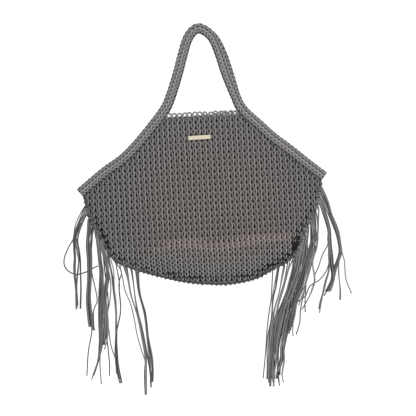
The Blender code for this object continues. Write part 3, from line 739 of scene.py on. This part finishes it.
def place(obj, surface, flat, out):
    """Sets an object's points over a panel's face: flat is (x, z), out is along its normal."""
    x, z = flat[:, 0], flat[:, 1]
    normal = np.stack([-surface.sample(surface.slope_x, x, z), np.full(len(x), float(surface.side)),
                       -surface.sample(surface.slope_z, x, z)], axis=1)
    face = np.stack([x, surface.side * surface.sample(surface.outer, x, z), z], axis=1)
    set_coordinates(obj, face + unit(normal) * out[:, None])


def finish_piece(obj, slot, look=None):
    only(obj)
    bpy.ops.object.shade_smooth()
    obj.data.materials.clear()
    obj.data.materials.append(LOOKS[look or slot])
    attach(obj, "root")


def merged_copy(name, node):
    """A CAD node's mesh as a new object, with its loose triangles joined up."""
    obj = bpy.data.objects.new(name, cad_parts[node].data.copy())
    bpy.context.scene.collection.objects.link(obj)
    only(obj)
    bpy.ops.object.mode_set(mode="EDIT")
    bpy.ops.mesh.select_all(action="SELECT")
    bpy.ops.mesh.remove_doubles(threshold=MERGE_DISTANCE)
    bpy.ops.object.mode_set(mode="OBJECT")
    return obj


def ply(name, surface):
    """The knit's inner ply, where its loops interlock: the panel with its outer skin moved in."""
    obj = merged_copy(name, surface.node)
    co = coordinates(obj)
    x, z = co[:, 0], co[:, 2]
    outer, inner = surface.sample(surface.outer, x, z), surface.sample(surface.inner, x, z)
    depth = np.abs(co[:, 1])
    is_outer = np.abs(depth - outer) < np.abs(depth - inner)
    depth = np.where(is_outer, np.maximum(outer - PLY_DEPTH, inner + PLY_WALL), depth)
    co[:, 1] = surface.side * depth
    middle = (x.min() + x.max()) / 2
    co[:, 0] = middle + (x - middle) * PLY_SPREAD
    set_coordinates(obj, co)
    # Painted light: the ply is lighter where it faces up on the fold; its near-black colour is painted shade
    painted_shade_attribute(obj, np.clip(surface.sample(surface.slope_z, x, z), -1, 0))
    finish_piece(obj, "net_cord", "net_shade")
    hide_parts(surface.node)


# Straps


def centre_rings(node):
    """The middle points of a swept solid's rings, found by walking from one end to the other."""
    obj = merged_copy("rings", node)
    near = {}
    for edge in obj.data.edges:
        a, b = edge.vertices
        near.setdefault(a, set()).add(b)
        near.setdefault(b, set()).add(a)
    co = coordinates(obj)
    left = int(co[:, 0].argmin())
    leftmost = [face for face in obj.data.polygons if left in face.vertices]
    cap = max(leftmost, key=lambda face: -abs(face.normal.y) - face.normal.x)
    ring = end_ring(obj.data, cap)
    seen = set(ring)
    middles = [co[list(ring)].mean(axis=0)]
    while True:
        ring = {k for r in ring for k in near[r]} - seen
        if not ring:
            break
        seen |= ring
        middles.append(co[list(ring)].mean(axis=0))
    bpy.data.objects.remove(obj)
    return np.array(middles)


def end_ring(mesh, cap):
    """All the points of the flat end that a face is part of."""
    ring = set(cap.vertices)
    grown = True
    while grown:
        grown = False
        for face in mesh.polygons:
            level = face.normal.dot(cap.normal) > LEVEL
            if level and len(ring & set(face.vertices)) >= 2 and not set(face.vertices) <= ring:
                ring |= set(face.vertices)
                grown = True
    return ring


def section_table(half_width, half_depth):
    """A rounded flat section: points and outward normals by share of the way round it."""
    angle = np.linspace(0, 2 * math.pi, STRAP_SECTION_POINTS)
    c, s = np.cos(angle), np.sin(angle)
    wide = np.sign(c) * np.abs(c) ** (2 / STRAP_SECTION_POWER) * half_width
    deep = np.sign(s) * np.abs(s) ** (2 / STRAP_SECTION_POWER) * half_depth
    points = np.stack([wide, deep], axis=1)
    at = lengths_along(points)
    share = np.linspace(0, 1, STRAP_SECTION_POINTS)
    points = read_at(share * at[-1], at, points)
    along = np.gradient(points, axis=0)
    along[0] = along[-1] = points[1] - points[-2]
    normals = unit(np.stack([along[:, 1], -along[:, 0]], axis=1))
    return share, points, normals, at[-1]


class StrapSurface:
    """A strap's skin, by length along it, share of the way round it and distance out of it."""

    def __init__(self, node):
        self.line = smooth_line(centre_rings(node), STRAP_LINE_STEP)
        self.at = lengths_along(self.line)
        self.length = self.at[-1]
        self.along = directions(self.line)
        co = coordinates(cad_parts[node])
        top = self.line[self.line[:, 2].argmax()]
        near = co[np.abs(co[:, 0] - top[0]) < STRAP_TOP_REACH]
        half_depth = (near[:, 1].max() - near[:, 1].min()) / 2
        half_width = near[:, 2].max() - top[2]
        self.share, self.points, self.normals, self.round = section_table(half_width, half_depth)

    def edge_share(self, q):
        """1 on the strap's two edges and 0 on its flat faces."""
        return np.interp(np.mod(q, 1.0), self.share, self.normals[:, 0] ** 2)

    def place(self, obj, p, q, out):
        """Sets an object's points: p along the strap, q round it from 0 to 1, out of its skin."""
        p = crowded(p, STRAP_END_SQUEEZE)
        p = self.length - crowded(self.length - p, STRAP_END_SQUEEZE)
        q = np.mod(q, 1.0)
        across = unit(np.cross(read_at(p, self.at, self.along), (0.0, 1.0, 0.0)))
        section = read_at(q, self.share, self.points) + read_at(q, self.share, self.normals) * out[:, None]
        moved = read_at(p, self.at, self.line) + across * section[:, 0:1]
        moved[:, 1] += section[:, 1]
        set_coordinates(obj, moved)


def crowded(values, squeeze):
    """Lengths near or past an end, crowded up against it from the inside."""
    return np.where(values < squeeze, squeeze * np.exp((values - squeeze) / squeeze), values)


def strap(name, node, side):
    """One strap's stitches, whose columns run along it, and its core behind them."""
    skin = StrapSurface(node)
    rows = round(skin.length / STRAP_PITCH)
    row = skin.length / rows
    column = skin.round / STRAP_COLUMNS
    obj = swatch(name, STRAP_COLUMNS, rows, column, row, STRAP_STITCH_HEIGHT, STRAP_CORD_RADIUS)
    co = coordinates(obj)
    p = co[:, 1] + row / 2
    p = p + STRAP_WANDER * wander(p, co[:, 0], 3.0 + side)
    q = co[:, 0] / skin.round + STRAP_TURN
    outermost = STITCH_DEPTH + CORD_PAIR_DEPTH + STRAP_CORD_RADIUS
    bump = STRAP_BUMP * skin.edge_share(q) * np.cos(2 * math.pi * p / row)
    skin.place(obj, p, q, co[:, 2] - outermost + STRAP_STAND + bump)
    # Painted shade: the deeper a point lies in the strap's knit, the darker
    painted_shade_attribute(obj, (outermost - co[:, 2]) / (2 * outermost))
    finish_piece(obj, "strap_cord")
    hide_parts(node)
    # The core behind the stitches is coloured near black as painted shade
    core = straight_cord(f"{name}_core", STRAP_CORE_RINGS, 1.0, STRAP_CORE_SIDES)
    co = coordinates(core)
    turn = np.arctan2(co[:, 1], co[:, 0]) / (2 * math.pi)
    inset = STRAP_CORE_INSET * (1 - STRAP_CORE_EDGE * skin.edge_share(turn))
    skin.place(core, (co[:, 2] + 0.5) * skin.length, turn, -inset)
    finish_piece(core, "strap_cord", "strap_shade")
    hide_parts(node)


# Edges and fringe


def upper_and_lower(surface):
    """The outline's two ways from the left corner to the right one: over the mouth, and under the bag."""
    loop = surface.outline
    if (loop[:, 0] * np.roll(loop[:, 1], -1) - np.roll(loop[:, 0], -1) * loop[:, 1]).sum() > 0:
        loop = loop[::-1]
    left, right = loop[:, 0].min(), loop[:, 0].max()
    lefts = [k for k in range(len(loop)) if loop[k, 0] < left + CORNER_NEAR]
    rights = [k for k in range(len(loop)) if loop[k, 0] > right - CORNER_NEAR]
    top_left, top_right = (max(side, key=lambda k: loop[k, 1]) for side in (lefts, rights))
    low_left, low_right = (min(side, key=lambda k: loop[k, 1]) for side in (lefts, rights))
    turned = np.roll(loop, -top_left, axis=0)
    over = turned[: (top_right - top_left) % len(loop) + 1]
    turned = np.roll(loop, -low_right, axis=0)
    under = turned[: (low_left - low_right) % len(loop) + 1][::-1]
    return over, under


def seam_line(under):
    """The seam's middle line under the bag, a little outside the panels' edge."""
    return even_line(smooth_line(under + outwards(under) * SEAM_OFFSET, SEAM_STEP), SEAM_POINTS)


def mouth_loops(name, surface, node):
    """Open loops of one cord along the mouth, one after another, each a little different."""
    low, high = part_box(node)
    over = upper_and_lower(surface)[0]
    start, end = low.x - LOOP_END_INSET, high.x + LOOP_END_INSET
    count = round((end - start) / LOOP_PITCH)
    pitch = (end - start) / count
    dice = random.Random(7 + surface.side)
    loops = []
    for k in range(count):
        x = start + pitch * (k + 0.5) + dice.uniform(-LOOP_SHIFT, LOOP_SHIFT)
        foot = float(np.interp(x, over[:, 0], over[:, 1]))
        half = pitch * dice.uniform(*LOOP_HALF_WIDTH)
        rise = LOOP_RISE * dice.uniform(*LOOP_UNEVEN)
        lean = dice.uniform(-LOOP_LEAN, LOOP_LEAN)
        depth = float(surface.sample(surface.outer, np.array([x]), np.array([foot]))[0]) - LOOP_SETBACK
        way = []
        for j in range(LOOP_STEPS + 1):
            t = math.pi * j / LOOP_STEPS
            belly = 1.0 + LOOP_BELLY * math.sin(2 * t) ** 2
            up = -LOOP_FOOT + (rise + LOOP_FOOT) * math.sin(t) ** LOOP_ROUNDNESS
            across = -half * math.cos(t) * belly + lean * math.sin(t)
            way.append((x + across, surface.side * (depth + LOOP_CROSSING * math.cos(t)), foot + up))
        loops.append(cord(name, way, LOOP_RADIUS, LOOP_SIDES))
    obj = joined(loops, name)
    finish_piece(obj, "net_cord")
    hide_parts(node)


def seam(name, line):
    """The edge's overcast cord: it winds round both panels' edges in close turns."""
    length = lengths_along(line)[-1]
    turns = round(length / SEAM_PITCH)
    steps = turns * SEAM_TURN_STEPS
    at = np.linspace(0, 1, steps + 1)
    middle = read_at(at, np.linspace(0, 1, len(line)), line)
    out = outwards(middle)
    angle = 2 * math.pi * turns * at + SEAM_SHARE * wander(at * length, 3 * at, 4.0)
    uneven = 1 + SEAM_UNEVEN[0] * np.sin(angle / 2) + SEAM_UNEVEN[1] * wander(at * length, at, 2.0)
    wide = SEAM_HALF_WIDTH * np.cos(angle) * uneven
    rings = np.stack([middle[:, 0] + out[:, 0] * wide, SEAM_HALF_DEPTH * np.sin(angle),
                      middle[:, 1] + out[:, 1] * wide], axis=1)
    obj = long_cord(name, rings, SEAM_CORD_RADIUS)
    core_line = np.stack([line[:, 0], np.zeros(len(line)), line[:, 1]], axis=1)
    core = long_cord(name, core_line, SEAM_CORE_RADIUS, SEAM_CORE_SIDES)
    obj = joined([obj, core], name)
    finish_piece(obj, "net_cord", "shaded_seam_cord")
    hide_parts("bottom_seam")


def strand(name, root, out, way, place, depth, share, dice):
    """One loose strand: out of the seam in a small arch, then down the bundle's way."""
    arch = STRAND_ARCH * dice.uniform(*ARCH_UNEVEN)
    start = dice.choice(ROOT_SIDES) * STRAND_FRONT
    points = [(root[0] - out[0] * STRAND_INSET, start, root[1] - out[1] * STRAND_INSET),
              (root[0] + out[0] * arch, start * ARCH_DEPTH, root[1] + out[1] * arch + arch * ARCH_LIFT)]
    phase, turns = dice.uniform(*STRAND_PHASES), dice.uniform(*STRAND_TURNS)
    joins = root[1] - dice.uniform(*STRAND_DROP)
    for k, (x, z, *half) in enumerate(way):
        if z / MILLIMETRES > joins:
            continue
        swing = math.sin(phase + turns * 2 * math.pi * k / len(way))
        at = max(-SWING_LIMIT, min(SWING_LIMIT, place + STRAND_SWING * swing))
        wide = half[0] / MILLIMETRES if half else 0.0
        points.append((x / MILLIMETRES + wide * at, depth * (1 + SWING_DEPTH * swing), z / MILLIMETRES))
    line = smooth_line(points, STRAND_STEP)
    length = lengths_along(line)
    keep = length <= length[-1] * share + 1e-6
    line = line[keep]
    line[2:, 0] += STRAND_WAVE * np.sin(phase + length[keep][2:] * WAVE_RATE)
    made = cord(name, line, STRAND_RADIUS)
    painted_shade_attribute(made, np.full(len(made.data.vertices), dice.uniform(*STRAND_SHADE)))
    return made


def fringe(name, bundles, line, node):
    """One stretch of the fringe: its bundles of loose strands."""
    dice = random.Random(name)
    shares = np.linspace(0, 1, len(line))
    outs = outwards(line)
    strands = []
    for bundle in bundles:
        start, end = bundle.roots
        count = bundle.strands
        for k in range(count):
            at = (k + 0.5) / count
            where = start + (end - start) * at + dice.uniform(-ROOT_SHIFT, ROOT_SHIFT)
            root = [float(np.interp(where, shares, line[:, j])) for j in (0, 1)]
            out = [float(np.interp(where, shares, outs[:, j])) for j in (0, 1)]
            place = 0.0
            if count > 1:
                place = (2 * at - 1) * BUNDLE_SPREAD + dice.uniform(-STRAND_SHIFT, STRAND_SHIFT)
            depth = BUNDLE_DEPTH * dice.uniform(-1, 1)
            share = dice.uniform(bundle.shortest, 1.0)
            strands.append(strand(name, root, out, bundle.way, place, depth, share, dice))
    obj = joined(strands, name)
    finish_piece(obj, "fringe_cord")
    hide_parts(node)


# Materials


class Nodes:
    """Adds and links a material's nodes."""

    def __init__(self, name):
        self.material = bpy.data.materials.new(name)
        LOOKS[name] = self.material
        self.material.use_nodes = True
        self.tree = self.material.node_tree
        self.shader = self.tree.nodes["Principled BSDF"]

    def add(self, kind, inputs=(), **settings):
        node = self.tree.nodes.new(kind)
        for key, value in settings.items():
            setattr(node, key, value)
        for key, value in dict(inputs).items():
            if isinstance(value, bpy.types.NodeSocket):
                self.tree.links.new(value, node.inputs[key])
            else:
                node.inputs[key].default_value = value
        return node

    def link(self, socket, key):
        self.tree.links.new(socket, self.shader.inputs[key])

    def noise(self, place, scale, detail):
        inputs = {"Vector": place, "Scale": scale, "Detail": detail}
        return self.add("ShaderNodeTexNoise", inputs).outputs["Fac"]

    def bands(self, inputs, direction):
        wave = self.add("ShaderNodeTexWave", inputs, wave_type="BANDS", bands_direction=direction)
        return wave.outputs["Fac"]

    def attribute(self, name):
        return self.add("ShaderNodeAttribute", attribute_name=name).outputs["Fac"]

    def ranged(self, value, start=(0.0, 1.0), end=(0.0, 1.0)):
        """A value brought from one range to another."""
        inputs = {"Value": value, "From Min": start[0], "From Max": start[1],
                  "To Min": end[0], "To Max": end[1]}
        return self.add("ShaderNodeMapRange", inputs).outputs[0]

    def combined(self, operation, first, second):
        return self.add("ShaderNodeMath", {0: first, 1: second}, operation=operation).outputs[0]

    def mixed(self, share, first, second):
        return self.add("ShaderNodeMix", {0: share, 6: first, 7: second}, data_type="RGBA").outputs[2]

    def toned(self, colour, tone):
        """The base colour, with a tone that makes it lighter or darker."""
        tint = self.add("ShaderNodeVectorMath", {0: colour}, operation="SCALE")
        self.tree.links.new(tone, tint.inputs["Scale"])
        self.link(tint.outputs[0], "Base Color")

    def relief(self, height, strength, distance):
        """Fine relief that the geometry doesn't have."""
        bump = self.add("ShaderNodeBump", {"Height": height, "Strength": strength, "Distance": distance})
        self.link(bump.outputs[0], "Normal")

    def finish(self, **values):
        for key, value in values.items():
            self.shader.inputs[key.replace("_", " ")].default_value = value


def cord_material(name, light, dark, shade_colour, roughness):
    """Twisted cord: plies along its UVs, fine fibre, painted shade where it sinks into the knit, a colder
    painted shade colour outwards and underneath, and painted light on the fold.
    """
    nodes = Nodes(name)
    place = nodes.add("ShaderNodeTexCoord").outputs
    patches = nodes.noise(place["Object"], PATCH_SCALE, PATCH_DETAIL)
    fibre = nodes.noise(place["Object"], FIBRE_SCALE, FIBRE_DETAIL)
    plies = nodes.bands({"Vector": place["UV"], "Scale": PLY_SCALE, "Distortion": PLY_DISTORTION,
                         "Detail": PLY_DETAIL}, "DIAGONAL")
    middle = nodes.add("ShaderNodeVectorMath", {0: place["Object"], 1: PAINTED_LIGHT_MIDDLE}, operation="SUBTRACT")
    away = nodes.add("ShaderNodeVectorMath", {0: middle.outputs[0]}, operation="LENGTH").outputs["Value"]
    faces_up = nodes.attribute("faces_up")
    # Painted shade outwards and where the net faces down, painted light where the fold faces up
    under = nodes.ranged(faces_up, UNDERSIDE_SHADE_SLOPES)
    fold = nodes.ranged(faces_up, FOLD_SLOPES)
    shaded_outwards_and_under = nodes.combined("MAXIMUM", nodes.ranged(away, OUTER_SHADE_REACH), under)
    patched = nodes.mixed(patches, (*dark, 1.0), (*light, 1.0))
    red = tuple(a * b for a, b in zip(light, FOLD_LIGHT_TINT))
    hue = nodes.mixed(fold, nodes.mixed(shaded_outwards_and_under, patched, (*shade_colour, 1.0)), (*red, 1.0))
    grain, grooves = nodes.ranged(fibre, end=FIBRE_TONES), nodes.ranged(plies, end=PLY_TONES)
    twisted = nodes.combined("MULTIPLY", grain, grooves)
    # Painted shade: darker the deeper the cord lies in the knit, with the painted light the net's attribute
    # carries
    depth = nodes.ranged(nodes.attribute("painted_shade"), CORD_DEPTHS, CORD_TONES)
    nodes.toned(hue, nodes.combined("MULTIPLY", twisted, depth))
    height = nodes.combined("ADD", nodes.combined("MULTIPLY", plies, PLY_RELIEF), fibre)
    nodes.relief(height, *CORD_RELIEF)
    nodes.finish(Roughness=roughness, Specular_IOR_Level=CORD_GLOSS)


def shade_material(name, colour):
    """What lies in the shade behind the stitches: near black as painted shade, with painted light where it
    faces up.
    """
    nodes = Nodes(name)
    place = nodes.add("ShaderNodeTexCoord").outputs["Object"]
    rows = nodes.bands({"Vector": place, "Scale": SHADE_SCALE, "Distortion": SHADE_DISTORTION}, "Z")
    light = nodes.ranged(nodes.attribute("painted_shade"), SHADE_DEPTHS, SHADE_TONES)
    nodes.toned(colour, nodes.combined("MULTIPLY", nodes.ranged(rows, end=SHADE_ROWS), light))
    nodes.relief(rows, *SHADE_RELIEF)
    nodes.finish(Roughness=SHADE_ROUGHNESS, Specular_IOR_Level=SHADE_GLOSS)


def metal_material(name):
    """Pale gold-toned plate, brushed along its length, bare."""
    nodes = Nodes(name)
    place = nodes.add("ShaderNodeTexCoord").outputs["Object"]
    turn = nodes.add("ShaderNodeMapping", {"Vector": place, "Rotation": (0.0, PLATE_TURN, 0.0),
                                           "Scale": BRUSH_STRETCH})
    brush = nodes.noise(turn.outputs[0], BRUSH_SCALE, BRUSH_DETAIL)
    nodes.toned(PLATE_COLOUR, nodes.ranged(brush, end=BRUSH_TONES))
    nodes.link(nodes.ranged(brush, end=BRUSH_ROUGHNESS), "Roughness")
    nodes.relief(brush, *PLATE_RELIEF)
    nodes.finish(Metallic=PLATE_METAL)


# Stage, light and camera


def stage():
    bpy.ops.object.select_all(action="DESELECT")
    bpy.ops.mesh.primitive_plane_add(size=FLOOR_SIZE, location=(0, 0, FLOOR_HEIGHT))
    floor = bpy.context.object
    floor.name = "floor"
    Nodes("pale_floor").finish(Base_Color=FLOOR_COLOUR, Roughness=FLOOR_ROUGHNESS)
    floor.data.materials.append(LOOKS["pale_floor"])
    world = bpy.data.worlds.new("studio")
    bpy.context.scene.world = world
    world.use_nodes = True
    sky = world.node_tree.nodes["Background"].inputs
    sky["Color"].default_value = (1.0, 1.0, 1.0, 1.0)
    sky["Strength"].default_value = WORLD_STRENGTH
    area_light("key", KEY_PLACE, KEY_SIZE, KEY_POWER)
    area_light("fill", FILL_PLACE, FILL_SIZE, FILL_POWER)
    bpy.context.scene.view_settings.view_transform = "Standard"


def area_light(name, place, size, power):
    bpy.ops.object.light_add(type="AREA", location=place)
    light = bpy.context.object
    light.name = name
    light.data.size = size
    light.data.energy = power
    aim = Vector(LIGHT_AIM) - Vector(place)
    light.rotation_euler = aim.to_track_quat("-Z", "Y").to_euler()


def camera():
    x, z = CAMERA_AIM
    bpy.ops.object.camera_add(location=(x, -CAMERA_DISTANCE, z), rotation=(math.pi / 2, 0, 0))
    made = bpy.context.object
    made.data.sensor_width = SENSOR
    made.data.lens = SENSOR * CAMERA_DISTANCE / VIEW_WIDTH
    bpy.context.scene.camera = made


def main():
    camera()
    stage()
    for name, look in CORDS.items():
        cord_material(name, **look)
    for name, colour in SHADES.items():
        shade_material(name, colour)
    front = PanelSurface("front_panel", -1)
    back = PanelSurface("back_panel", 1)
    for surface, label in ((front, "front"), (back, "back")):
        net(f"{label}_net_upper", surface, True)
        net(f"{label}_net_lower", surface, False)
        ply(f"{label}_ply", surface)
        mouth_loops(f"{label}_loops", surface, f"{label}_mouth_loops")
        strap(f"{label}_strap_knit", f"{label}_strap", surface.side)
    under = upper_and_lower(front)[1]
    seam("shaded_seam_cord", seam_line(np.vstack([SEAM_START, under, SEAM_END])))
    line = seam_line(under)
    for stretch, bundles in BUNDLES.items():
        fringe(f"{stretch}_strands", bundles, line, f"{stretch}_fringe")
    metal_material("plate_metal")
    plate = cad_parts["name_plate"]
    plate.data.materials.clear()
    plate.data.materials.append(LOOKS["plate_metal"])


main()
